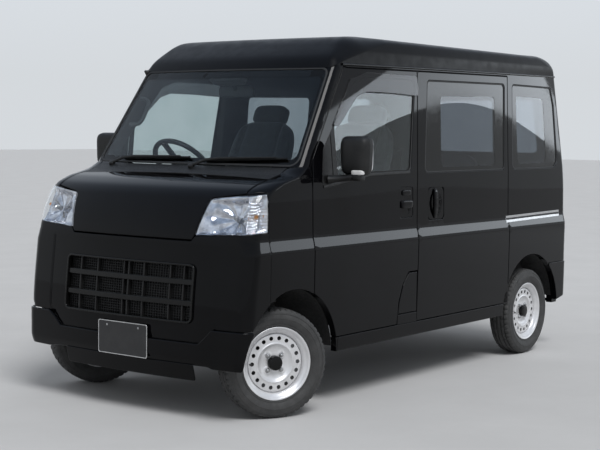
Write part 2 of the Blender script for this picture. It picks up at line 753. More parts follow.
# Materials of the CAD pieces, by the start of their names
FINISHES = {
    paint: ("bonnet", "fender_", "fuel_lid", "front_fascia", "front_bumper", "rear_bumper", "front_door_left",
            "front_door_right", "side_frame_", "sliding_door_", "tailgate", "roof"),
    underbody: ("chassis_rails", "wheel_housings", "front_suspension", "rear_suspension", "rear_axle",
                "knuckle_", "fuel_tank", "propshaft"),
    inner_paint: ("floor",),
    engine_metal: ("engine",),
    exhaust_steel: ("exhaust",),
    clear_glass: ("windscreen", "front_door_glass_"),
    tinted_glass: ("side_glass", "tailgate_glass"),
    wheel_silver: ("rim_",),
    rail_silver: ("slide_rails",),
    rubber: ("tyre_",),
    plastic: ("cowl", "grille", "mirror_", "wipers"),
    red_lens: ("tail_lamps",),
    lens_glass: ("headlamps",),
    cabin_plastic: ("dashboard", "steering_wheel"),
    cloth: ("seat_", "rear_bench"),
    plate_blank: ("front_plate", "rear_plate"),
}
for node, thing in nodes.items():
    fitting = [(len(start), material) for material, starts in FINISHES.items() for start in starts
               if node.startswith(start)]
    thing.data.materials.clear()
    thing.data.materials.append(max(fitting, key=lambda pair: pair[0])[1])

# Camera at the photograph's viewing angle

camera_place = (6.3305, 4.557, 1.376)
camera_yaw, camera_pitch, camera_roll = (math.radians(angle) for angle in (216.91, 4.04, 0.68))
focal_pixels, image_width, sensor_width = 1331.7, 600, 36
ahead = Vector((math.cos(camera_yaw) * math.cos(camera_pitch), math.sin(camera_yaw) * math.cos(camera_pitch),
                -math.sin(camera_pitch)))
level_right = Vector((math.sin(camera_yaw), -math.cos(camera_yaw), 0))
level_up = level_right.cross(ahead)
right = level_right * math.cos(camera_roll) + level_up * math.sin(camera_roll)
up = level_up * math.cos(camera_roll) - level_right * math.sin(camera_roll)
camera_data = bpy.data.cameras.new("camera")
camera_data.sensor_width = sensor_width
camera_data.lens = focal_pixels * sensor_width / image_width
camera_data.clip_end = 200
camera = linked("camera", camera_data)
camera.matrix_world = Matrix((*((right[k], up[k], -ahead[k], camera_place[k]) for k in range(3)),
                              (0, 0, 0, 1)))
bpy.context.scene.camera = camera

# Lights, world and floor

def add_light(name, kind, aim, energy, place=(0, 0, 0), roll=0, **settings):
    data = bpy.data.lights.new(name, kind)
    data.energy = energy
    for key, value in settings.items():
        setattr(data, key, value)
    lamp = linked(name, data)
    lamp.location = place
    lamp.rotation_mode = "QUATERNION"
    spin = Quaternion((0, 0, 1), math.radians(roll))
    lamp.rotation_quaternion = Vector(aim).to_track_quat("-Z", "Y") @ spin


add_light("key", "SUN", (-0.35, -0.62, -1.0), 2.0, angle=math.radians(25))
add_light("side_box", "AREA", (9.8, -6.16, -2.12), 82, (-9.8, 6.9, 2.95), -8, shape="RECTANGLE", size=6.4,
          size_y=1.0, color=(0.86, 0.93, 1.0))


def world_light():
    """A pale sky that the camera, reflections and glass see, and an even dimmer one that lights."""
    world = bpy.data.worlds.new("studio")
    bpy.context.scene.world = world
    world.use_nodes = True
    tree = world.node_tree
    tree.nodes.clear()
    place = tree.nodes.new("ShaderNodeTexCoord").outputs["Generated"]
    split = tree.nodes.new("ShaderNodeSeparateXYZ")
    feed(split, {0: place})
    ramp = tree.nodes.new("ShaderNodeValToRGB")
    elements = ramp.color_ramp.elements
    elements[0].position, elements[0].color = 0.04, (0.66, 0.69, 0.72, 1)
    elements[1].position, elements[1].color = 0.85, (0.36, 0.45, 0.60, 1)
    elements.new(0.20).color = (0.74, 0.79, 0.85, 1)
    shown = add(tree, "Background", {0: feed(ramp, {0: split.outputs["Z"]})})
    fill = add(tree, "Background", {0: (0.94, 0.97, 1.0, 1), 1: 0.40})
    path = tree.nodes.new("ShaderNodeLightPath")
    rays = path.outputs["Is Camera Ray"]
    for other in ("Is Glossy Ray", "Is Transmission Ray"):
        rays = add(tree, "Math", {0: rays, 1: path.outputs[other]}, operation="MAXIMUM")
    mixed = add(tree, "MixShader", {0: rays, 1: fill, 2: shown})
    tree.links.new(mixed, tree.nodes.new("ShaderNodeOutputWorld").inputs[0])


world_light()
ground = make_mesh("floor_plane", [(-60, -60, 0), (60, -60, 0), (60, 60, 0), (-60, 60, 0)], [(0, 1, 2, 3)])
ground.data.materials.append(floor_grey)
bpy.context.scene.view_settings.view_transform = "Standard"

# Side panels

SIDES = ((1, "left"), (-1, "right"))


def corners(a0, b0, a1, b1):
    return (a0, b0), (a1, b0), (a1, b1), (a0, b1)


gutter_front, gutter_rear = (0.790, 1.712), (-1.634, 1.741)
gutter_drop = 0.012


def gutter_z(x):
    (x0, z0), (x1, z1) = gutter_front, gutter_rear
    return z0 + (x0 - x) * (z1 - z0) / (x0 - x1)


split_low, split_belt, split_top_x = (0.174, 0.349), (0.164, 1.063), 0.126
rear_low, rear_belt, rear_top_x = (-0.867, 0.349), (-0.872, 1.063), -0.902
pillar_bend, pillar_top = (1.104, 1.240), (0.782, 1.706)
door_front_x = 1.121
front_window = ((1.045, 1.092), (0.620, 1.156), (0.224, 1.163), (0.150, 1.662), (0.590, 1.662),
                (0.724, 1.622), (1.010, 1.290))
slide_window = ((0.082, 1.155), (0.030, 1.664), (-0.865, 1.674), (-0.835, 1.158))
quarter_window = ((-0.935, 1.158), (-0.962, 1.675), (-1.530, 1.674), (-1.560, 1.560), (-1.553, 1.200),
                  (-1.500, 1.160))
front_corner, slide_corner, tail_corner, handle_corner = 0.034, 0.026, 0.040, 0.018
front_handle = corners(0.208, 0.918, 0.340, 1.083)
slide_handle = corners(-0.118, 0.894, 0.050, 1.073)
fuel_region = ((0.172, 0.348), (0.177, 0.622), (0.262, 0.622), (0.318, 0.556), (0.352, 0.470), (0.366, 0.348))

shoulder_rows = (0.770, 0.782, 0.789, 0.793, 0.797, 0.801, 0.805, 0.811, 0.822, 0.838, 0.850, 0.856, 0.861,
                 0.866, 0.872, 0.884)
side_rows = sorted({*np.round(np.arange(0.30, 0.77, 0.055), 3), *shoulder_rows,
                    *np.round(np.arange(0.92, 1.76, 0.05), 3)})
side_cols = np.arange(-1.56, 1.16, 0.06)
rear_corner_cols = np.concatenate([np.arange(-1.86, -1.56, 0.011), side_cols])
shrink = -(gap / 2) + skin_grow


def hole(points, radius, shrink_by=skin_grow):
    return rounded(grown(points, -shrink_by), radius, 0.02)


def arch_edge(axle, radius, x_from, x_to, count=30):
    """Points over a wheel arch between two places along the body."""
    start = math.degrees(math.acos((x_from - axle[0]) / radius))
    stop = math.degrees(math.acos((x_to - axle[0]) / radius))
    return arc_points(axle, radius, start, stop, count)


def front_door_outline(with_fuel):
    top_rear = (split_top_x, gutter_z(split_top_x) - gutter_drop)
    top_front = (pillar_top[0] - 0.03, gutter_z(pillar_top[0] - 0.03) - gutter_drop)
    foot = [(split_low[0], split_low[1]), split_belt, top_rear, top_front, pillar_top, pillar_bend,
            (door_front_x, 1.090)]
    shape = grown(foot + [(door_front_x, split_low[1])], shrink)
    radius = arch_front - shrink
    low_z, front_x = shape[0][1], shape[-1][0]
    x_low = front_axle[0] - math.sqrt(radius ** 2 - (low_z - front_axle[1]) ** 2)
    arch = arch_edge(front_axle, radius, front_x, x_low)
    points = [tuple(p) for p in shape[1:-1]] + arch
    radii = [0.012, 0.014, 0.012, 0.012, 0.05, 0.03] + [0] * (len(arch) - 1) + [0.006]
    if with_fuel:
        edge = grown(fuel_region, gap - skin_grow)
        points += [(edge[5][0], low_z), *(tuple(edge[k]) for k in (4, 3, 2)),
                   (split_edge_x(edge[2][1]), edge[2][1])]
        radii += [0.004, 0.02, 0.02, 0.02, 0.004]
    else:
        points += [tuple(shape[0])]
        radii += [0.012]
    return rounded(points, radii, 0.03)


def split_edge_x(z):
    """The front door's rear edge at a level below the belt."""
    share = (z - split_low[1]) / (split_belt[1] - split_low[1])
    return split_low[0] + share * (split_belt[0] - split_low[0]) + gap / 2 - skin_grow


def sliding_door_outline():
    points = (split_low, split_belt, (split_top_x, gutter_z(split_top_x) - gutter_drop),
              (rear_top_x, gutter_z(rear_top_x) - gutter_drop), rear_belt, rear_low)
    return rounded(grown(points, shrink), [0.012, 0.0, 0.014, 0.014, 0.0, 0.012], 0.03)


def fuel_lid_outline():
    points = [(0.175, 0.404), (0.177, 0.622), (0.262, 0.622), (0.318, 0.556), (0.352, 0.470), (0.363, 0.404)]
    return rounded(grown(points, -0.0024), 0.012, 0.02)


def fuel_corner_outline():
    points = [(0.1725, 0.349), (0.1735, 0.4005), (0.3635, 0.4005), (0.366, 0.349)]
    return rounded(points, 0.003, 0.02)


def frame_outline():
    """The fixed side: sill, rear quarter, the strip over the doors and the windscreen pillar."""
    clear = gap / 2 - skin_grow
    low = 0.276
    x_front = front_axle[0] - arch_front
    x_rear = rear_axle[0] + arch_rear
    rear_arch = arc_points(rear_axle, arch_rear - skin_grow, 2, 127.2, 44)
    bumper_z = 0.5545
    lamp_x, lamp_top = -1.6505, 0.8140
    points = [(x_front - 0.003, low), (x_rear + 0.001, low)] + rear_arch[1:-1]
    points += [(rear_arch[-1][0], bumper_z), (lamp_x, bumper_z), (lamp_x, lamp_top)]
    half_low = np.interp(lamp_top, (0.56, 0.82), (0.626, 0.634)) + clear
    gate = [(half_low, lamp_top), (0.634 + clear, 0.822), (0.626 + clear, 1.163), (0.574 + clear, 1.722)]
    points += [(side_of(y, z, -1), z) for y, z in gate] + [(side_of(0.600, 1.724, -1), 1.7243)]
    points += [(-1.700, 1.7330), (-1.640, gutter_z(-1.634) - 0.001), (0.790, gutter_z(0.790) - 0.001)]
    points += [(side_of(0.640, 1.700), 1.701), (side_of(0.606, 1.697), 1.6985)]
    points += [(side_of(y, z), z) for y, z in (
        (0.618, 1.692), (0.6245, 1.680), (0.627, 1.660), (0.676, 1.243), (0.6755, 1.224), (0.662, 1.2075),
        (0.640, 1.2035), (0.640, 1.1985))]
    points += [(door_front_x + 0.006, 1.1985)]
    bend, top = grown_pair(pillar_bend, pillar_top, clear)
    points += [(bend[0] + 0.003, bend[1] - 0.01), top]
    over = gutter_drop - clear
    points += [(pillar_top[0] - 0.03, gutter_z(pillar_top[0]) - over),
               (rear_top_x - clear, gutter_z(rear_top_x) - over)]
    points += [(rear_belt[0] - clear, rear_belt[1]), (rear_low[0] - clear, rear_low[1] - clear)]
    points += [(x_front - 0.009, split_low[1] - clear)]
    return rounded(points, 0.008, 0.03)


def grown_pair(a, b, amount):
    """A line's two ends moved to its outer side."""
    a, b = np.array(a), np.array(b)
    d = (b - a) / np.linalg.norm(b - a)
    out = np.array((d[1], -d[0])) * amount
    return tuple(a + out), tuple(b + out)


def fender_outline():
    x0, x1 = door_front_x + gap / 2 - skin_grow, 1.466 + skin_grow
    arch = arch_edge(front_axle, arch_front - skin_grow, x1, x0)
    points = arch + [(x0, 1.1965)]
    points += [(side_of(0.6302, z), z)
               for z in (1.1965, 1.185, 1.170, 1.160, 1.150, 1.140, 1.130, 1.120, 1.110, 1.100, 1.085)]
    points += [(side_of(0.632, 1.0735), 1.0735), (side_of(0.700, 1.080), 1.0805), (x1 + 0.07, 1.0840),
               (x1, 1.0850)]
    return rounded(points, [0] * len(arch) + [0.004] * (len(points) - len(arch)), 0.02)


fender_rows = sorted({*np.round(np.arange(0.60, 0.77, 0.05), 3), *shoulder_rows,
                      *np.round(np.arange(0.91, 1.05, 0.03), 3), *np.round(np.arange(1.05, 1.20, 0.0075), 4)})
fender_cols = np.concatenate([np.arange(1.13, 1.48, 0.016), np.arange(1.48, 1.76, 0.010)])

for side, tag in SIDES:
    skin("door_skin_" + tag, paint, "door_" + tag, on_side, front_door_outline(side > 0),
         [hole(front_window, front_corner), hole(front_handle, handle_corner)], side_cols, side_rows,
         side=side)
    skin("sliding_door_skin_" + tag, paint, "body", on_side, sliding_door_outline(),
         [hole(slide_window, slide_corner), hole(slide_handle, handle_corner)], side_cols, side_rows,
         side=side)
    skin("side_skin_" + tag, paint, "body", on_side, frame_outline(), [hole(quarter_window, slide_corner)],
         rear_corner_cols, side_rows, side=side)
    skin("fender_skin_" + tag, paint, "body", on_side, fender_outline(), [], fender_cols, fender_rows,
         side=side)
skin("fuel_lid_skin", paint, "fuel_flap", on_side, fuel_lid_outline(), [], side_cols, side_rows)
skin("fuel_corner_skin", paint, "body", on_side, fuel_corner_outline(), [], side_cols, side_rows)

# Front and rear faces

def symmetric(right_points):
    """A whole outline from its right half, listed from the bottom up or the top down."""
    return list(right_points) + [(-y, z) for y, z in reversed(right_points)]


def bonnet_outline():
    half = [(0.398, 0.857), (0.412, 0.880), (0.450, 1.052), (0.628, 1.078)]
    rear_x = 1.358 + gap / 2 - skin_grow
    level_z = np.linspace(1.08, 1.19, 400)
    level = Level(level_z)

    def rear_run(y):
        x = level.nose - level.fall * (y / level.end) ** 2
        return run_at(np.interp(-rear_x, -x, level_z))

    half_run = [(y, float(run_at(z))) for y, z in half]
    lows = grown(symmetric([*half_run, (0.628, 2.0)]), shrink)
    right_low = [tuple(p) for p in lows[:4]]
    edge_y = right_low[3][0]
    right_low += [(edge_y, float(rear_run(edge_y)))]
    right_low += [(y, float(rear_run(y))) for y in (0.55, 0.45, 0.3, 0.15)]
    points = right_low + [(0.0, float(rear_run(0.0)))] + [(-y, b) for y, b in reversed(right_low)]
    radii = [0.02, 0.006, 0.03, 0.012, 0.03] + [0.0] * 4
    return rounded(points, radii + [0.0] + radii[::-1], 0.03)


skin("bonnet_skin", paint, "bonnet", on_bonnet, bonnet_outline(), [], np.arange(-0.66, 0.67, 0.03),
     np.arange(0.0, 0.6, 0.016))


def end_run(x, z, way=1):
    """Distance along the outline from the centre of the nose, or of the tail, to a place on the side."""
    level = Level(z)
    centre, _, y1, angle = level.front if way > 0 else level.rear
    radius = level.radius if way > 0 else level.tail_radius
    return float(y1 + radius * (math.pi / 2 - angle) + way * (centre - x))


def fascia_outline():
    grow = skin_grow
    rear_x = 1.468 - grow
    radius = arch_front - grow
    right_half = [(0.474, 0.376 - grow), (0.545 + grow, 0.448 - grow)]
    for z in (0.448 - grow, 0.47, 0.49, 0.51, 0.53, 0.549, 0.5635, 0.62, 0.68, 0.73, 0.78, 0.80, 0.83, 0.862):
        arch_x = front_axle[0] + math.sqrt(max(radius ** 2 - (z - front_axle[1]) ** 2, 0))
        right_half.append((end_run(max(rear_x, arch_x), z), z))
    right_half += [(end_run(rear_x, 0.8985 + grow), 0.8985 + grow), (0.72, 0.8955 + grow),
                   (0.414, 0.876 + grow), (0.394, 0.851 + grow)]
    radii = [0.012, 0.012, 0.006] + [0.0] * 13 + [0.006, 0.0, 0.012, 0.016]
    return rounded(symmetric(right_half), radii + radii[::-1], 0.02)


grille_hole = corners(-0.428, 0.466, 0.428, 0.744)
nose_cols = np.concatenate([np.arange(-0.96, -0.62, 0.011), np.arange(-0.62, 0.63, 0.04),
                            np.arange(0.63, 0.97, 0.011)])
step_cols = np.round(np.arange(0.536, 0.600, 0.005), 4)
fascia_cols = np.unique(np.concatenate([nose_cols, step_cols, -step_cols,
                                        np.round(np.arange(-0.5, 0.51, 0.02), 4)]))
nose_rows = sorted({*np.round(np.arange(0.39, 0.77, 0.03), 3), *shoulder_rows})
fascia_rows = sorted({*nose_rows, *np.round(np.arange(0.36, 0.48, 0.006), 4),
                      *np.round(np.arange(0.815, 0.86, 0.004), 4)})


def smooth_step(value, low, high):
    t = np.clip((value - low) / (high - low), 0, 1)
    return t * t * (3 - 2 * t)


def fascia_lift(uv):
    """The centre between the corner posts lies a little deeper, and the foot turns in over the bumper."""
    s, z = np.abs(uv[:, 0]), uv[:, 1]
    centre = (1 - smooth_step(s, 0.550, 0.566)) * (1 - smooth_step(z, 0.828, 0.844))
    rise = 0.075 * smooth_step(s, 0.44, 0.56)
    foot = 1 - smooth_step(z, 0.380 + rise, 0.412 + rise)
    return -0.011 * centre - 0.006 * foot


skin("fascia_skin", paint, "body", on_nose, fascia_outline(), [hole(grille_hole, 0.026)], fascia_cols,
     fascia_rows, depth=0.0022, lift=fascia_lift, follow=True, replaces=["front_fascia"])


def bumper_outline():
    grow = skin_grow
    radius = arch_front - grow

    def arch_s(z):
        x = front_axle[0] + math.sqrt(radius ** 2 - (z - front_axle[1]) ** 2)
        return end_run(max(x, 1.468 - grow), z)

    right_half = [(arch_s(z), z) for z in (0.2620, 0.290, 0.32, 0.35, 0.38, 0.41, 0.446 + grow)]
    right_half += [(0.544, 0.446 + grow), (0.465, 0.374 + grow)]
    radii = [0.012] + [0.0] * 5 + [0.014, 0.014, 0.014]
    return rounded(symmetric(right_half), radii + radii[::-1], 0.02)


def bumper_lift(uv):
    """A crease low down, below which the middle turns in."""
    s, z = np.abs(uv[:, 0]), uv[:, 1]
    middle = 1 - smooth_step(s, 0.500, 0.556)
    under = 0.310 - 0.030 * (1 - middle)
    turned_in = -0.22 * np.clip(under - z, 0, 0.06) * (0.35 + 0.65 * middle)
    return turned_in - 0.0045 * middle + 0.007 * (1 - middle)


bumper_rows = np.arange(0.265, 0.45, 0.008)
bumper_cols = np.unique(np.round(np.concatenate([nose_cols, np.arange(-0.58, 0.59, 0.014)]), 4))
skin("bumper_skin", paint, "body", on_nose, bumper_outline(), [], bumper_cols, bumper_rows, 0.0050, 0.006,
     0.0020, lift=bumper_lift, follow=True, replaces=["front_bumper"])
skin("skirt_skin", paint, "body", on_nose, rounded(corners(-0.43, 0.189, 0.43, 0.27), 0.012, 0.03), [],
     np.arange(-0.5, 0.5, 0.05), np.arange(0.2, 0.28, 0.02), -0.0022, 0.004, 0.0055)


def tailgate_outline():
    half = [(0.626, 0.560), (0.634, 0.820), (0.626, 1.163), (0.574, 1.722)]
    return rounded(grown(symmetric(half), shrink), [0.010, 0.0, 0.0, 0.03, 0.03, 0.0, 0.0, 0.010], 0.03)


def end_window(low_z, low_y, top_z, top_y):
    return ((-low_y, low_z), (low_y, low_z), (top_y, top_z), (-top_y, top_z))


tail_window = end_window(1.205, 0.556, 1.640, 0.508)
tail_cols = np.arange(-0.70, 0.71, 0.04)
skin("tailgate_skin", paint, "tailgate", on_tail, tailgate_outline(), [hole(tail_window, tail_corner)],
     tail_cols, side_rows)


def rear_bumper_outline():
    grow = skin_grow
    radius = arch_rear - grow
    top, low_tail, low_arch = 0.552 + grow, 0.345 - grow, 0.286 - grow

    def low_z(x):
        return np.interp(x, (-1.7345, -1.4145), (low_tail, low_arch))

    def arch_x(z):
        return rear_axle[0] - math.sqrt(radius ** 2 - (z - rear_axle[1]) ** 2)

    foot_x = arch_x(float(low_z(-1.53)))
    right_half = [(end_run(foot_x, 0.32, -1), float(low_z(foot_x)))]
    right_half += [(end_run(arch_x(z), z, -1), z) for z in (0.36, 0.41, 0.46, 0.51, top)]
    points = [(0.0, low_tail), (0.55, low_tail), (0.70, low_tail - 0.004)] + right_half
    radii = [0.0] * 3 + [0.012] + [0.0] * 4 + [0.012]
    whole = points + [(-s, z) for s, z in reversed(points[1:])]
    return rounded(whole, radii + radii[:0:-1], 0.02)


rear_cols = np.concatenate([np.arange(-1.0, -0.58, 0.012), tail_cols, np.arange(0.58, 1.0, 0.012)])
skin("rear_bumper_skin", paint, "body", on_tail, rear_bumper_outline(), [], rear_cols,
     np.arange(0.31, 0.56, 0.01), 0.0055, 0.003, 0.0002,
     lift=lambda uv: -0.0030 * (1 - smooth_step(np.abs(uv[:, 0]), 0.5, 0.62)))

# Roof

def smooth_path(points, at):
    """A smooth curve through points (u, v) at shares of its length."""
    p = np.asarray(points, float)
    run = np.concatenate([[0], np.cumsum(np.linalg.norm(np.diff(p, axis=0), axis=1))])
    run /= run[-1]
    return np.stack([curve_at(run, p[:, k], at) for k in range(p.shape[1])], -1)


def roof_rings():
    """Closed rings from the gutter up over the shoulder to the middle of the crown."""
    shoulder = np.linspace(0, 1, 22)
    crown = np.linspace(0, 1, 9)[1:]
    side = smooth_path(((0, 0), (0.0005, 0.25), (0.002, 0.48), (0.008, 0.64), (0.024, 0.86), (0.055, 0.95),
                        (0.098, 1.0)), shoulder)
    front = smooth_path(((0, 1.697), (0.018, 1.722), (0.040, 1.748), (0.085, 1.781), (0.135, 1.812),
                         (0.185, 1.841), (0.24, 1.862), (0.34, 1.874), (0.465, 1.881)), shoulder)
    rear = smooth_path(((0, 1.722), (0.003, 1.770), (0.010, 1.808), (0.032, 1.838), (0.085, 1.862),
                        (0.14, 1.874), (0.21, 1.881)), shoulder)
    base = Level(1.715)
    front_x0 = float(nose_at(1.697)) + skin_proud
    rear_x0 = float(Level(1.722).tail) - skin_proud
    half0 = float(base.w) + skin_proud
    end0 = float(base.end) + skin_proud
    rings = []
    total = [(s, f, r, t, 0.0) for s, f, r, t in zip(side, front, rear, shoulder)]
    total += [(side[-1], front[-1], rear[-1], 1.0, c) for c in crown]
    for s, f, r, t, c in total:
        half = (half0 - s[0]) * (1 - c) + 0.004 * c
        taper = (half0 - end0) * (1 - t) ** 0.5 * (1 - c)
        x_front = (front_x0 - f[0]) - 0.50 * c
        x_rear = (rear_x0 + r[0]) + 0.35 * c
        bow = 0.066 * (1 - 0.5 * t) * (1 - c)
        bow_rear = 0.020 * (1 - c)
        corner = min(0.048 + 0.16 * t, 0.9 * half)
        corner_rear = min(0.056 + 0.09 * t, 0.9 * half)
        quarter = []
        end = half - taper
        for way, tip, drop, radius in ((1, x_front, bow, corner), (-1, x_rear, bow_rear, corner_rear)):
            middle = (x_front + x_rear) / 2
            angle = math.atan(2 * drop / max(end, 1e-3))
            y1 = end - radius * (1 - math.sin(angle))
            centre = tip - way * (drop * (y1 / max(end, 1e-3)) ** 2 + radius * math.cos(angle))
            part = [(tip - way * drop * (y / max(end, 1e-3)) ** 2, y, 0.0)
                    for y in y1 * np.linspace(0, 1, 22)]
            for k in np.linspace(0, 1, 13)[1:]:
                a = angle + (math.pi / 2 - angle) * k
                part.append((centre + way * radius * math.cos(a), end - radius + radius * math.sin(a),
                             math.sin((math.pi / 2) * k) ** 2))
            for k in np.linspace(0, 1, 22)[1:]:
                x = centre + (middle - centre) * k
                reach = (x - middle) / (centre - middle)
                part.append((x, half - taper * reach ** 2, 1.0))
            z_end = (f[1] if way > 0 else r[1])
            done = []
            for x, y, share in part:
                z_side = gutter_z(x) + (1.869 - gutter_z(x)) * s[1]
                z = z_end * (1 - share) + z_side * share
                crown_z = 1.8895 - 0.008 * ((x + 0.45) / 1.1) ** 2
                done.append((x, y, z * (1 - math.sin(c * math.pi / 2)) + crown_z * math.sin(c * math.pi / 2)))
            quarter.append(done)
        half_ring = quarter[0] + quarter[1][::-1][1:]
        rings.append(half_ring + [(x, -y, z) for x, y, z in half_ring[-2:0:-1]])
    return np.array(rings)


def make_roof():
    rings = roof_rings()
    nr, nc = rings.shape[:2]
    verts, faces = taken(shell("roof_skin", rings, 0.028, (-0.3, 0, 1.2), loop=True))
    half = nc // 2
    extra = []
    base = (nr - 1) * nc
    count = nr * nc
    for offset, flip in ((0, False), (count, True)):
        for i in range(1, half):
            a, b = base + offset + i, base + offset + i + 1
            c, d = base + offset + (nc - i - 1) % nc, base + offset + (nc - i) % nc
            quad = (a, b, c, d) if i < half - 1 else (a, b, d)
            extra.append(quad[::-1] if flip else quad)
        first = (base + offset, base + offset + 1, base + offset + nc - 1)
        extra.append(first[::-1] if flip else first)
    a, b, c = (Vector(verts[i]) for i in extra[4][:3])
    if (b - a).cross(c - a).z < 0:
        extra = [f[::-1] for f in extra]
    dress(make_mesh("roof_skin", verts, faces + extra, crease=50), roof_paint, "body", replaces=["roof"])


make_roof()

# Window borders, seals and the smoked visors

glass_top = -0.004
windscreen_corner = 0.038
side_glass_cols = np.arange(-1.56, 1.10, 0.05)
side_glass_rows = np.arange(1.10, 1.70, 0.05)
slide_clear = ((-0.102, 1.186), (-0.112, 1.578), (-0.738, 1.592), (-0.722, 1.186))
quarter_clear = ((-1.012, 1.192), (-1.022, 1.604), (-1.408, 1.600), (-1.400, 1.240), (-1.380, 1.192))
sash = rounded([(0.902, 1.105), (0.943, 1.100), (0.9395, 1.378), (0.905, 1.420)], 0.003, 0.02)
sail = rounded([(1.0345, 1.0995), (0.947, 1.110), (0.945, 1.372), (1.003, 1.292)], 0.008, 0.02)
belt = dense([(0.238, 1.1625), (0.620, 1.1555), (1.0300, 1.1035)], 0.02)
visor = rounded([(0.138, 1.572), (0.400, 1.580), (0.6155, 1.580), (0.700, 1.555), (0.8785, 1.400),
                 (0.924, 1.400), (0.742, 1.640), (0.600, 1.682), (0.135, 1.682)],
                [0.012, 0, 0.05, 0.05, 0.006, 0.01, 0.03, 0.03, 0.01], 0.02)


def visor_lift(uv):
    low = np.interp(uv[:, 0], (0.13, 0.62, 0.70, 0.88), (1.572, 1.580, 1.555, 1.400))
    high = np.interp(uv[:, 0], (0.13, 0.60, 0.742, 0.924), (1.682, 1.682, 1.640, 1.400))
    share = np.clip((high - uv[:, 1]) / np.maximum(high - low, 0.02), 0, 1)
    return 0.0065 * np.sin(share * math.pi / 2)


def border(name, body, place, outer, clear, cols, rows, side=1):
    """The black band round a window's clear part."""
    skin(name, frit, body, place, outer, [clear], cols, rows, glass_top + 0.0004, 0.0003, 0.0039, side)


for side, tag in SIDES:
    door = "door_" + tag
    for label, body, window, radius, clear in (
            ("slide", "body", slide_window, slide_corner, rounded(slide_clear, 0.03, 0.02)),
            ("quarter", "body", quarter_window, slide_corner, rounded(quarter_clear, 0.03, 0.02)),
            ("front", door, front_window, front_corner, hole(front_window, 0.03, 0.014))):
        border(("door" if label == "front" else label) + "_border_" + tag, body, on_side,
               hole(window, radius, -0.0006), clear, side_glass_cols, side_glass_rows, side)
        moulding(label + "_seal_" + tag, seal, body, on_side, hole(window, radius, 0.0045),
                 bead(0.008, -0.0038, 0.0002, 0.4), True, side)
    skin("door_sash_" + tag, plastic, door, on_side, sash, [], side_glass_cols, side_glass_rows, 0.0012,
         0.002, 0.0036, side)
    skin("mirror_sail_" + tag, plastic, door, on_side, sail, [], np.arange(0.9, 1.1, 0.03), side_glass_rows,
         0.0015, 0.002, 0.0036, side)
    moulding("belt_moulding_" + tag, plastic, door, on_side, belt, bead(0.016, -0.003, 0.0055, 0.35), False,
             side)
    skin("door_visor_" + tag, visor_glass, door, on_side, visor, [], np.arange(0.12, 0.95, 0.03),
         np.arange(1.40, 1.70, 0.02), 0.0052, 0.0012, -0.0022, side, 0.008, visor_lift)

border("windscreen_border", "body", on_nose, rounded(end_window(1.2035, 0.6755, 1.6965, 0.6215),
                                              windscreen_corner, 0.02),
       rounded(end_window(1.236, 0.650, 1.652, 0.602), 0.03, 0.02), np.arange(-0.7, 0.71, 0.04),
       np.arange(1.2, 1.7, 0.04))
border("tailgate_border", "tailgate", on_tail, rounded(grown(tail_window, -0.0006), tail_corner, 0.02),
       rounded(grown(tail_window, -0.045), 0.03, 0.02), tail_cols, np.arange(1.2, 1.66, 0.04))
for name, body, place, outline, radius in (
        ("windscreen_seal", "body", on_nose, end_window(1.203, 0.676, 1.697, 0.622), windscreen_corner),
        ("tailgate_seal", "tailgate", on_tail, tail_window, tail_corner)):
    moulding(name, seal, body, place, rounded(grown(outline, -0.004), radius, 0.02),
             bead(0.010, -0.0038, 0.0006, 0.4), True)

# Drip mouldings, door handles and the slots of the sliding doors' rails

drip_path = [(float(x), gutter_z(min(x, 0.79)) + 0.004) for x in np.arange(-1.61, 0.80, 0.03)]
drip_section = [(-0.007, -0.002), (-0.007, 0.004), (-0.005, 0.0075), (0.0, 0.009), (0.004, 0.0075),
                (0.006, 0.004), (0.006, -0.002)]
rail_slot = dense([(-0.846, 0.8585), (-1.552, 0.8685)], 0.03)
handle_plate = rounded(corners(0.2092, 0.9192, 0.3388, 1.0818), 0.017, 0.008)
slide_plate = rounded(corners(-0.1168, 0.8952, 0.0488, 1.0718), 0.030, 0.008)


def cup_lift(centre, radii, deep):
    """A hollow behind a door handle."""
    def lift(uv):
        q = ((uv[:, 0] - centre[0]) / radii[0]) ** 2 + ((uv[:, 1] - centre[1]) / radii[1]) ** 2
        return -deep * np.sqrt(np.clip(1 - q, 0, 1))
    return lift


def grip_shape(side):
    """Bows a sliding door's grip outward at its middle."""
    def shape(v):
        v = v.copy()
        v[:, 1] += side * 0.35 * (1 - v[:, 2] ** 2)
        return v
    return shape


for side, tag in SIDES:
    door = "door_" + tag
    moulding("drip_moulding_" + tag, gloss_plastic, "body", on_side, drip_path, drip_section, False, side)
    for label, body, outline, cols, rows, lift in (
            ("handle", door, handle_plate, np.arange(0.2, 0.345, 0.006), np.arange(0.915, 1.09, 0.006),
             cup_lift((0.274, 0.975), (0.052, 0.048), 0.016)),
            ("slide", "body", slide_plate, np.arange(-0.12, 0.06, 0.006), np.arange(0.89, 1.08, 0.006),
             cup_lift((-0.034, 0.984), (0.066, 0.078), 0.0165))):
        skin(label + "_plate_" + tag, paint, body, on_side, outline, [], cols, rows, -0.0005, 0.002, 0.0188,
             side, 0.004, lift)
    y_front = float(Level(1.0).side_y(0.27))
    block("handle_flap_" + tag, paint, door, (0.274, side * (y_front + 0.002), 0.990), (0.112, 0.022, 0.044),
          4.5, 14)
    block("handle_lug_" + tag, paint, door, (0.274, side * (y_front + 0.001), 1.052), (0.086, 0.010, 0.030),
          4, 12)
    y_slide = float(Level(0.98).side_y(-0.03))
    block("slide_grip_" + tag, paint, "body", (-0.020, side * y_slide, 0.984), (0.034, 0.020, 0.166), 4, 16,
          grip_shape(side))
    moulding("rail_slot_" + tag, plastic, "body", on_side, rail_slot, bead(0.012, 0.0012, 0.0036, 0.3),
             False, side)

# Door mirrors

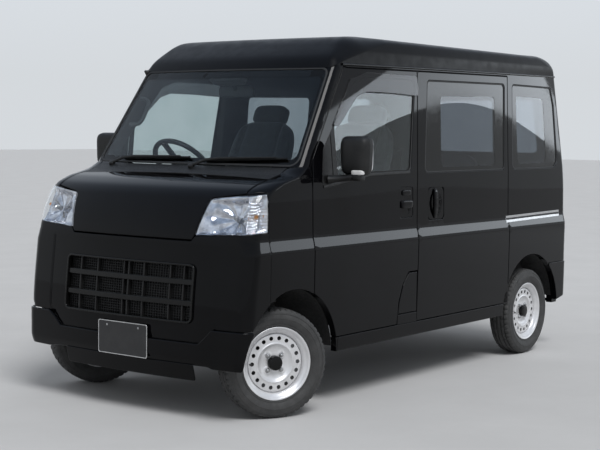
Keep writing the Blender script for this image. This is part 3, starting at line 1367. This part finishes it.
def housing_shape(v):
    """Narrows the mirror's housing toward its front and foot."""
    v = v.copy()
    front = np.clip(v[:, 0], 0, 1)
    v[:, 1] *= 1 - 0.16 * front
    v[:, 2] *= 1 - 0.10 * front
    v[:, 1] *= 1 + 0.05 * v[:, 2]
    return v


for side, tag in SIDES:
    door = "door_" + tag
    block("mirror_housing_" + tag, plastic, door, (0.940, side * 0.847, 1.258), (0.084, 0.164, 0.192), 5.5,
          20, housing_shape, replaces=["mirror_" + tag])
    block("mirror_glass_" + tag, chrome, door, (0.9015, side * 0.848, 1.262), (0.010, 0.146, 0.164), 8, 14,
          slot="rail_silver")
    points = [(0.952, side * 0.862, 1.158), (0.954, side * 0.830, 1.151), (0.962, side * 0.785, 1.146),
              (0.978, side * 0.748, 1.142), (0.992, side * 0.722, 1.140)]
    dress(tube("mirror_arm_" + tag, points, [0.019, 0.021, 0.021, 0.022, 0.028], 20, (1.5, 0.8)), plastic,
          door)
    block("mirror_knob_" + tag, plastic, door, (0.955, side * 0.872, 1.152), (0.056, 0.060, 0.034), 3.5, 14)
    block("mirror_marker_" + tag, marker_white, door, (0.967, side * 0.878, 1.1765), (0.034, 0.066, 0.024),
          5, 12)

# Headlamps

bowl, side_bowl = (0.47, 0.50), (0.83, 0.46)
lamp_split = 0.665
lamp_rows, lamp_cols = 44, 90
lamp_front_x = 1.4695


def lamp_place(u, v):
    """A place inside the lamp's outline from shares of its width and height, as distance and level."""
    z_low = 0.8815 + 0.0205 * u
    z = z_low + (1.0505 + 0.0315 * u - z_low) * v
    inner = 0.4135 + (0.4515 - 0.4135) * v
    return inner + (end_run(lamp_front_x, float(z)) - inner) * u, z


def lamp_outline(margin):
    shares = [(0, 0), (0, 1), (0.25, 1), (0.5, 1), (0.7, 1), (0.85, 1), (1, 1), (1, 0.75), (1, 0.5),
              (1, 0.25), (1, 0), (0.85, 0), (0.7, 0), (0.5, 0), (0.25, 0)]
    radii = [0.012 if u in (0, 1) and v in (0, 1) else 0 for u, v in shares]
    return rounded(grown([lamp_place(u, v) for u, v in shares], -margin), radii, 0.012)


def reflector_depth(u, v, s, z, main, small):
    """A faceted bowl for the main bulb beside a fluted one for the flasher, with a ridge between them."""
    wall = min(u / 0.05, (1 - u) / 0.04, v / 0.10, (1 - v) / 0.10, 1.0)
    r_main = math.hypot(s - main[0], z - main[1])
    turn = math.atan2(z - main[1], s - main[0]) / (2 * math.pi)
    facets = 0.022 * abs((turn * 9) % 1 - 0.5) * min(r_main / 0.06, 1)
    deep_main = 0.058 - 2.6 * min(r_main, 0.13) ** 2 - facets
    flutes = 0.0022 * math.sin(z * 420) + 0.0015 * math.sin(s * 300)
    deep_small = 0.036 - 2.2 * min(math.hypot(s - small[0], z - small[1]), 0.10) ** 2 + flutes
    share = 1 / (1 + math.exp(-(u - lamp_split) / 0.006))
    ridge = math.exp(-((u - lamp_split) / 0.012) ** 2)
    deep = (deep_main * (1 - share) + deep_small * share) * (1 - 0.55 * ridge)
    return 0.0045 + max(deep, 0.010) * wall * wall * (3 - 2 * wall)


main, small = lamp_place(*bowl), lamp_place(*side_bowl)
shares = [(u, v) for v in np.linspace(0, 1, lamp_rows) for u in np.linspace(0, 1, lamp_cols)]
lamp_uv = np.array([lamp_place(u, v) for u, v in shares])
lamp_depth = [-reflector_depth(u, v, s, z, main, small) for (u, v), (s, z) in zip(shares, lamp_uv)]
lamp_grid = surface(on_nose, lamp_uv, lamp_depth)[0].reshape(lamp_rows, lamp_cols, 3)
for side, tag in SIDES:
    skin("headlamp_lens_" + tag, lens_glass, "body", on_nose, lamp_outline(-0.0008), [], nose_cols,
         np.arange(0.88, 1.09, 0.02), 0.0030, 0.0024, 0.0004, side, slot="headlamp_clear",
         replaces=["headlamps"] if side > 0 else ())
    dress(shell("headlamp_reflector_" + tag, lamp_grid, 0.0025, body_middle, side=side), lamp_chrome, "body")
    for label, centre, deep, radius, long, material in (("bulb_", main, 0.050, 0.013, 0.034, nut_steel),
                                                        ("amber_bulb_", small, 0.034, 0.009, 0.022, amber)):
        base, normal, _, _ = surface(on_nose, np.array([centre]), [-deep])
        points = [(base[0] + normal[0] * long * k) * np.array((1, side, 1)) for k in (0, 0.5, 0.8, 0.93, 1.0)]
        bulb = tube(label + tag, points, radius * np.array((1, 1, 0.85, 0.55, 0.1)), 20)
        dress(bulb, material, "body")

# Tail lamps

lens_levels = ((0.5615, 0.6150, lens_glass, 0.005), (0.6155, 0.6750, red_lens, 0.003),
               (0.6755, 0.8105, red_lens, 0.005))
lamp_inner, lamp_outer = 0.6415, end_run(-1.6540, 0.68, -1)
for side, tag in SIDES:
    for k, (low, top, material, radius) in enumerate(lens_levels):
        skin(f"tail_lens_{k}_{tag}", material, "body", on_tail,
             rounded(corners(lamp_inner, low, lamp_outer, top), radius, 0.01), [],
             np.arange(0.6, 0.85, 0.008), np.arange(low, top, 0.008), 0.0035, 0.003, 0.0045, side, 0.003,
             slot="tail_lamp_red", replaces=["tail_lamps"] if k == 0 and side > 0 else ())
    skin("tail_reflector_" + tag, chrome, "body", on_tail,
         rounded(corners(lamp_inner, 0.5605, lamp_outer + 0.0005, 0.8115), 0.005, 0.01), [],
         np.arange(0.6, 0.85, 0.006), np.arange(0.56, 0.82, 0.004), -0.008, 0.002, 0.022, side, 0.002,
         lambda uv: 0.0015 * np.sin(uv[:, 1] * 700), slot="tail_lamp_red")

# Grille

bars = [(-0.4265, z - 0.013, 0.4265, z + 0.013, gloss_plastic, -0.006) for z in (0.659, 0.559)]
posts = [(y - 0.0045, 0.4675, y + 0.0045, 0.7425, plastic, -0.009)
         for y in (-0.330, -0.207, -0.022, 0.011, 0.111, 0.277, 0.360)]
for k, (y0, z0, y1, z1, material, proud) in enumerate(bars + posts):
    skin(f"grille_bar_{k}", material, "body", on_nose, rounded(corners(y0, z0, y1, z1), 0.002, 0.03), [],
         np.arange(-0.42, 0.43, 0.04), [0.6], proud, 0.0035, 0.031, replaces=["grille"] if k == 0 else ())
wires = [strip("wire", on_nose, [(y, z) for y in np.linspace(-0.4265, 0.4265, 24)],
               bead(0.0032, -0.036, -0.0265, 0.4, 3)) for z in np.arange(0.472, 0.742, 0.0125)]
wires += [strip("wire", on_nose, [(y, z) for z in np.linspace(0.468, 0.742, 8)],
                bead(0.0028, -0.036, -0.0285, 0.4, 3)) for y in np.arange(-0.4200, 0.4265, 0.0160)]
dress(joined("grille_mesh", wires), plastic, "body")
skin("grille_backing", seal, "body", on_nose, rounded(corners(-0.44, 0.456, 0.44, 0.754), 0.02, 0.04), [],
     np.arange(-0.42, 0.43, 0.04), np.arange(0.47, 0.75, 0.05), -0.0365, 0.001, 0.040)
moulding("grille_surround", gloss_plastic, "body", on_nose, rounded(grown(grille_hole, -0.004), 0.026, 0.02),
         bead(0.010, -0.020, 0.0030, 0.35), True)

# Wheels

tyre_radius = 0.265
track_front, track_rear = 1.305, 1.300
pin_inboard, steered = 0.110, math.radians(-27)
bolt_circle, vent_circle = 0.050, 0.120
vent_radius, vent_count = 0.0102, 18
nut_angles = [math.radians(45 + 90 * k) for k in range(4)]


def tyre_profile():
    outer = [(0.168, 0.050), (0.1745, 0.0545), (0.1795, 0.0570), (0.1835, 0.0585), (0.1845, 0.0606),
             (0.1875, 0.0612), (0.1885, 0.0598), (0.196, 0.0645), (0.206, 0.0692), (0.216, 0.0712),
             (0.2168, 0.0724), (0.2215, 0.0724), (0.2223, 0.0708), (0.232, 0.0692), (0.2395, 0.0665),
             (0.2403, 0.0682), (0.2440, 0.0676), (0.2450, 0.0650), (0.2500, 0.0632), (0.2550, 0.0605),
             (0.2590, 0.0570), (0.2618, 0.0525)]
    tread = []
    for y0, y1 in ((0.0470, 0.0395), (0.0340, 0.0165), (0.0115, -0.0115), (-0.0165, -0.0340),
                   (-0.0395, -0.0470)):
        middle = (y0 + y1) / 2
        r0, r, r1 = (tyre_radius - 0.0016 * (y / 0.047) ** 2 for y in (y0, middle, y1))
        tread += [(r0 - 0.0075, y0 + 0.0006), (r0 - 0.0006, y0 + 0.0002), (r0, y0 - 0.0008), (r, middle),
                  (r1, y1 + 0.0008), (r1 - 0.0006, y1 - 0.0002), (r1 - 0.0075, y1 - 0.0006)]
    return outer + tread[1:-1] + [(r, -y) for r, y in outer[::-1]] + [(0.160, -0.045), (0.160, 0.045)]


def wheel_matrix(side, front):
    """Where a wheel stands, its outer side along local Z. The front ones are steered as in the photograph."""
    if front:
        place = (Matrix.Translation((front_axle[0], side * (track_front / 2 - pin_inboard), tyre_radius))
                 @ Matrix.Rotation(steered, 4, "Z") @ Matrix.Translation((0, side * pin_inboard, 0)))
    else:
        place = Matrix.Translation((rear_axle[0], side * track_rear / 2, tyre_radius))
    return place @ Matrix.Rotation(math.radians(-90 * side), 4, "X")


def make_tyre(name, place, count=216):
    """A tyre with cuts across its shoulders and between its grooves."""
    profile = tyre_profile()
    verts = []
    for i in range(count):
        t = 2 * math.pi * i / count
        for r, h in profile:
            if abs(h) > 0.0385 and r > 0.2545 and i % 4 == 0:
                r -= 0.0055 * min(1.0, (r - 0.2520) / 0.006)
            elif 0.012 < abs(h) < 0.036 and r > 0.2600 and (i + (2 if h > 0 else 0)) % 6 == 0:
                r -= 0.0040
            verts.append((r * math.cos(t), r * math.sin(t), h))
    return make_mesh(name, moved(verts, place), quads(count, len(profile), True, True), flip=True, crease=40)


def hex_nut(place, angle, count=24):
    """A wheel nut with a washer face and a rounded end, on the bolt circle."""
    rings = [(0.0105, 0.0220, 32), (0.0115, 0.0230, 32), (0.0115, 0.0250, 32), (0.0098, 0.0262, 6),
             (0.0098, 0.0340, 6), (0.0085, 0.0365, 32), (0.0060, 0.0385, 32), (0.0015, 0.0392, 32)]
    verts = []
    for radius, z, sides in rings:
        for k in range(count):
            t = 2 * math.pi * k / count
            r = radius
            if sides == 6:
                r = radius * math.cos(math.pi / 6) / math.cos(t % (math.pi / 3) - math.pi / 6)
            verts.append((bolt_circle * math.cos(angle) + r * math.cos(t),
                          bolt_circle * math.sin(angle) + r * math.sin(t), z))
    ends = [tuple(range(count))[::-1], tuple((len(rings) - 1) * count + k for k in range(count))]
    return make_mesh("nut", moved(verts, place), quads(len(rings), count, loop_cols=True) + ends)


RIM_FRONT = (
    (0.0335, 0.0225), (0.040, 0.0228), (0.050, 0.0224), (0.060, 0.0224), (0.066, 0.0234), (0.074, 0.0250),
    (0.082, 0.0284), (0.088, 0.0330), (0.0920, 0.0362), (0.0945, 0.0368), (0.0965, 0.0360), (0.099, 0.0344),
    (0.103, 0.0338), (0.111, 0.0338), (0.129, 0.0338), (0.136, 0.0336), (0.1390, 0.0326), (0.1408, 0.0300),
    (0.1416, 0.0222), (0.1436, 0.0222), (0.1445, 0.0310), (0.1465, 0.0375), (0.1510, 0.0425),
    (0.1560, 0.0465), (0.1620, 0.0500), (0.1650, 0.0540), (0.1680, 0.0572), (0.1715, 0.0592),
    (0.1752, 0.0600), (0.1772, 0.0590), (0.1772, 0.0575),
)
RIM_BACK = (
    (0.1735, 0.0562), (0.1690, 0.0535), (0.1665, 0.0500), (0.1585, 0.0445), (0.1540, 0.0400),
    (0.1495, 0.0350), (0.1475, 0.0290), (0.1470, 0.0150), (0.1470, -0.0240), (0.1500, -0.0300),
    (0.1560, -0.0380), (0.1585, -0.0445), (0.1665, -0.0500), (0.1690, -0.0535), (0.1735, -0.0562),
    (0.1772, -0.0575), (0.1772, -0.0590), (0.1752, -0.0600), (0.1715, -0.0592), (0.1650, -0.0540),
    (0.1560, -0.0475), (0.1530, -0.0410), (0.1480, -0.0345), (0.1440, -0.0260), (0.1440, 0.0170),
    (0.1385, 0.0190), (0.1378, 0.0285), (0.136, 0.0306), (0.129, 0.0308), (0.111, 0.0308), (0.103, 0.0308),
    (0.099, 0.0312), (0.0955, 0.0328), (0.0925, 0.0328), (0.088, 0.0308), (0.082, 0.0254), (0.074, 0.0220),
    (0.066, 0.0202), (0.058, 0.0192), (0.0335, 0.0192),
)


def rim_shape():
    """A pressed steel wheel about Z with round vents through its disc and a raised ring around each nut."""
    blank = spun("rim_blank", RIM_FRONT + RIM_BACK, Matrix.Identity(4), 144)
    for v in blank.data.vertices:
        if math.hypot(v.co.x, v.co.y) < 0.075:
            for a in nut_angles:
                d = math.hypot(v.co.x - bolt_circle * math.cos(a), v.co.y - bolt_circle * math.sin(a))
                v.co.z += 0.0035 * math.exp(-((d - 0.0160) / 0.0050) ** 2)
    hole_profile = [(0.0, 0.012), (vent_radius, 0.012), (vent_radius, -0.012), (0.0, -0.012)]
    parts = []
    for k in range(vent_count):
        a = 2 * math.pi * k / vent_count
        place = Matrix.Translation((vent_circle * math.cos(a), vent_circle * math.sin(a), 0.032))
        parts.append(spun("cutter", hole_profile, place, 24, False))
    cutter = joined("vent_cutter", parts)
    cutter.modifiers.new("weld", "WELD").merge_threshold = 0.00001
    cut = blank.modifiers.new("vents", "BOOLEAN")
    cut.operation, cut.solver, cut.object = "DIFFERENCE", "EXACT", cutter
    bpy.context.view_layer.update()
    shape = blank.evaluated_get(bpy.context.evaluated_depsgraph_get()).to_mesh()
    verts = np.array([tuple(v.co) for v in shape.vertices])
    faces = [tuple(p.vertices) for p in shape.polygons]
    for thing in (blank, cutter):
        bpy.data.objects.remove(thing)
    return verts, faces


rim_verts, rim_faces = rim_shape()
cap_profile = [(0.0005, 0.0505), (0.010, 0.0503), (0.020, 0.0498), (0.0285, 0.0488), (0.0335, 0.0465),
               (0.0350, 0.0430), (0.0352, 0.0225), (0.0331, 0.0225), (0.0331, 0.0478), (0.0005, 0.0482)]
valve_path = [(0.134, 0, 0.028), (0.131, 0, 0.036), (0.128, 0, 0.046), (0.1265, 0, 0.052)]
for front in (True, False):
    for side, tag in SIDES:
        place = wheel_matrix(side, front)
        corner = ("front_" if front else "rear_") + tag
        wheel = "wheel_" + corner
        dress(make_mesh("steel_wheel_" + corner, moved(rim_verts, place), rim_faces, crease=32),
              wheel_silver, wheel, replaces=["rim_" + corner])
        dress(make_tyre("tyre_tread_" + corner, place), rubber, wheel, replaces=["tyre_" + corner])
        nuts = joined("nuts_" + corner, [hex_nut(place, angle) for angle in nut_angles])
        dress(nuts, nut_steel, wheel)
        dress(spun("hub_cap_" + corner, cap_profile, place, 64, crease=40), gloss_plastic, wheel)
        dress(tube("valve_" + corner, moved(valve_path, place), [0.0045, 0.0042, 0.0036, 0.0030]), rubber,
              wheel)

# Wipers

def blade_section(low, middle, top, neck):
    """A rubber blade with its lip against the glass, from the heights of its body."""
    half = [(0.0005, -0.0030), (0.0008, neck), (0.0035, low), (0.0045, middle), (0.002, top)]
    return [(-u, h) for u, h in half[2:]] + half[::-1] + [(-u, h) for u, h in half[:2]]


def swept(pivot_y, tip_y, low_z, tip_z, share):
    """A place on the windscreen between a wiper's two ends."""
    return pivot_y + (tip_y - pivot_y) * share, low_z + (tip_z - low_z) * share


for k, (pivot_y, tip_y, tip_z) in enumerate(((-0.520, 0.040, 1.232), (0.080, 0.610, 1.236))):
    level = Level(1.197)
    pivot = np.array((float(level.nose - level.fall * (pivot_y / level.end) ** 2) + 0.022, pivot_y, 1.196))
    spots = np.array([swept(pivot_y, tip_y, 1.219, tip_z, share) for share in (0.30, 0.6, 0.9)])
    rest = surface(on_nose, spots, [0.020] * 3)[0]
    arm_points = dense([pivot, (pivot + rest[0]) / 2 + np.array((0.004, 0, 0.010)), *rest], 0.02)
    arm = tube("arm", arm_points, np.linspace(0.0085, 0.0040, len(arm_points)), 12, (0.55, 1.0))
    boss = spun("boss", [(0.0005, -0.012), (0.016, -0.012), (0.016, 0.002), (0.012, 0.008), (0.0005, 0.010)],
                Matrix.Translation(pivot) @ Matrix.Rotation(math.radians(35), 4, "Y"), 32)
    dress(joined(f"wiper_arm_{k}", [arm, boss]), plastic, "body", replaces=["wipers"] if k == 0 else ())
    path = [swept(pivot_y, tip_y, 1.216, tip_z, share) for share in np.linspace(0.12, 1.0, 24)]
    moulding(f"wiper_blade_{k}", plastic, "body", on_nose, path, blade_section(0.006, 0.010, 0.0145, 0.0045))

# Number plates

plate_half_width, plate_half_height = 0.1645, 0.0820
plate_rim = 0.004


def flat_panel(name, outline, x_face, way, lift, thick, rim, holes=()):
    """A panel on a flat upright plane that faces forward or back."""
    def place(a, b):
        return np.stack([np.full(np.shape(a), 1.0), a, b], -1)

    verts, faces = taken(panel(name, place, outline, holes, np.arange(-0.15, 0.16, 0.05),
                               np.arange(0.2, 0.9, 0.05), 0.0, rim, thick))
    verts = np.array(verts)
    verts[:, 0] = x_face + way * (verts[:, 0] - 1.0 + lift)
    return make_mesh(name, verts, faces, flip=way < 0, crease=40)


def make_plate(name, node, x_face, way, z, body):
    """A blank plate with a raised pale edge and two bolts."""
    w, h = plate_half_width, plate_half_height
    outline = rounded(corners(-w, z - h, w, z + h), 0.010, 0.02)
    w, h = w - plate_rim, h - plate_rim
    inner = rounded(corners(-w, z - h, w, z + h), 0.008, 0.02)
    dress(flat_panel(name, outline, x_face, way, 0.0, 0.0022, 0.0008), plate_blank, body, replaces=[node])
    dress(flat_panel(name + "_edge", outline, x_face, way, 0.0006, 0.0018, 0.0006, [inner]), plate_edge, body)
    bolt = [(0.0003, 0.0008), (0.0045, 0.0006), (0.0065, -0.0004), (0.0065, -0.0022), (0.0003, -0.0022)]
    turn = Matrix.Rotation(math.radians(90 * way), 4, "Y")
    bolts = [spun("bolt", bolt, Matrix.Translation((x_face, y, z + 0.060)) @ turn, 24)
             for y in (-0.105, 0.105)]
    dress(joined(name + "_bolts", bolts), nut_steel, body)


make_plate("plate_front", "front_plate", 1.6965, 1, 0.356, "body")
make_plate("plate_rear", "rear_plate", -1.6960, -1, 0.700, "tailgate")

# Seats

def channels(v, axis, places, across, width, deep, facing_axis):
    """Presses sewn channels into a cushion's upper face."""
    out = v.copy()
    facing = np.clip(v[:, facing_axis], 0, 1) ** 2 * (np.abs(v[:, across]) < 0.98)
    for place in places:
        out[:, facing_axis] -= facing * deep * np.exp(-((v[:, axis] - place) / width) ** 2)
    return out


def cushion_shape(v):
    v = v.copy()
    crown = 1 - 0.5 * (v[:, 0] ** 2 + v[:, 1] ** 2)
    v[:, 2] = np.where(v[:, 2] > 0, v[:, 2] * (0.82 + 0.18 * crown), v[:, 2])
    v[:, 2] += 0.10 * np.exp(-((np.abs(v[:, 1]) - 0.82) / 0.16) ** 2) * np.clip(v[:, 2], 0, 1)
    v = channels(v, 1, (-0.62, 0.62), 0, 0.035, 0.13, 2)
    return channels(v, 0, (-0.45, 0.0, 0.45), 1, 0.022, 0.06, 2)


def back_shape(v):
    v = v.copy()
    v[:, 0] += np.clip(v[:, 0], 0, 1) * 0.25 * np.exp(-((np.abs(v[:, 1]) - 0.80) / 0.16) ** 2)
    v[:, 1] *= 1 - 0.10 * np.clip(v[:, 2], 0, 1) ** 2
    v = channels(v, 1, (-0.60, 0.60), 2, 0.035, 0.30, 0)
    return channels(v, 2, (-0.5, -0.1, 0.3), 1, 0.020, 0.14, 0)


def padding(name, fill, *args):
    block(name, cloth, "body", *args)


turn = leaned(-math.degrees(math.atan2(0.260, 0.580)))
for y, tag in ((-0.340, "driver"), (0.345, "passenger")):
    block("seat_base_" + tag, cabin_plastic, "body", (0.565, y, 0.679), (0.36, 0.39, 0.092), 10, 12,
          replaces=["seat_" + tag])
    foot, rise = np.array((0.380, y, 0.840)), turn @ np.array((0, 0, 1.0))
    padding("seat_cushion_" + tag, 0.8, (0.565, y, 0.800), (0.466, 0.456, 0.150), 5, 30, cushion_shape)
    padding("seat_back_" + tag, 0.8, foot + rise * 0.320, (0.100, 0.434, 0.622), 5, 30, back_shape, turn)
    padding("headrest_" + tag, 0.9, foot + rise * 0.682 + np.array((0.004, 0, 0)), (0.078, 0.236, 0.118), 4,
            20, None, turn)
    posts = [tube("post", [foot + rise * k + np.array((0, s, 0)) for k in (0.600, 0.640)], 0.006)
             for s in (-0.05, 0.05)]
    dress(joined("headrest_posts_" + tag, posts), nut_steel, "body")
padding("bench_cushion", 0.8, (-0.515, 0, 0.837), (0.366, 1.19, 0.088), 6, 34,
        lambda v: channels(v, 1, (-0.5, 0.0, 0.5), 0, 0.010, 0.22, 2))
padding("bench_back", 0.8, (-0.680, 0, 1.055), (0.078, 1.19, 0.425), 6, 34,
        lambda v: channels(v, 1, (-0.5, 0.0, 0.5), 2, 0.010, 0.25, 0), leaned(-12))
legs = [soft_box("leg", (-0.515, s * 0.43, 0.714), (0.24, 0.036, 0.160), 12, 8) for s in (1, -1)]
dress(joined("bench_frame", legs), cabin_plastic, "body", replaces=["rear_bench"])

# Small things at the windscreen, on the roof and at the back

block("mirror_cover", cabin_plastic, "body", (0.905, 0.0, 1.642), (0.060, 0.230, 0.050), 5, 14, None,
      leaned(-32))
dress(tube("mirror_stalk", [(0.880, 0, 1.628), (0.860, 0, 1.605), (0.845, 0, 1.590)], 0.010), cabin_plastic,
      "body")
block("inner_mirror", cabin_plastic, "body", (0.838, 0.0, 1.580), (0.022, 0.240, 0.062), 5, 16)
grab_path = [(1.020, -0.612, 1.400), (0.990, -0.580, 1.402), (0.968, -0.566, 1.425), (0.938, -0.562, 1.480),
             (0.915, -0.568, 1.522), (0.915, -0.588, 1.540), (0.935, -0.612, 1.545)]
dress(tube("grab_handle", smooth_path(grab_path, np.linspace(0, 1, 30)), 0.0105, 14), cabin_plastic, "body")
foot, outward, _, _ = surface(on_nose, np.array([(-0.632, 1.690)]), [0.0])
aerial = tube("aerial_base", [foot[0] + outward[0] * k for k in (0.0, 0.006, 0.012, 0.020)],
              [0.015, 0.014, 0.009, 0.005], 20)
dress(aerial, plastic, "body")

garnish = rounded([(-0.21, 0.815), (0.21, 0.815), (0.19, 0.858), (-0.19, 0.858)], 0.014, 0.02)
skin("tailgate_garnish", plastic, "tailgate", on_tail, garnish, [], np.arange(-0.2, 0.21, 0.04),
     [0.83, 0.845], 0.0005, 0.004, 0.0008, lift=lambda uv: 0.004 * np.ones(len(uv)))
skin("stop_lamp", red_lens, "tailgate", on_tail, rounded(corners(-0.11, 1.602, 0.11, 1.622), 0.006, 0.02), [],
     np.arange(-0.1, 0.11, 0.04), [], -0.0092, 0.002, 0.022)
rear_pivot = np.array([(0.0, 1.158)])
foot, outward, _, _ = surface(on_tail, rear_pivot, [0.0])
boss = tube("boss", [foot[0] + outward[0] * k for k in (0.0, 0.006, 0.0095, 0.0115)],
            [0.021, 0.020, 0.015, 0.007], 24)
path = dense([*rear_pivot, (-0.08, 1.196), (-0.19, 1.232), (-0.26, 1.243)], 0.03)
arm_points = surface(on_tail, path, np.full(len(path), 0.0075))[0]
arm = tube("arm", arm_points, np.linspace(0.0042, 0.0030, len(arm_points)))
dress(joined("rear_wiper_arm", [boss, arm]), plastic, "tailgate")
moulding("rear_wiper_blade", plastic, "tailgate", on_tail,
         [(s, 1.247 - 0.02 * (s + 0.26)) for s in np.linspace(-0.44, -0.08, 18)],
         blade_section(0.002, 0.006, 0.0100, 0.003))
for side, tag in SIDES:
    skin("bumper_reflector_" + tag, red_lens, "body", on_tail,
         rounded(corners(0.560, 0.470, 0.650, 0.498), 0.006, 0.01), [], np.arange(0.56, 0.66, 0.01),
         [0.48, 0.49], 0.0085, 0.002, -0.0030, side, 0.002)
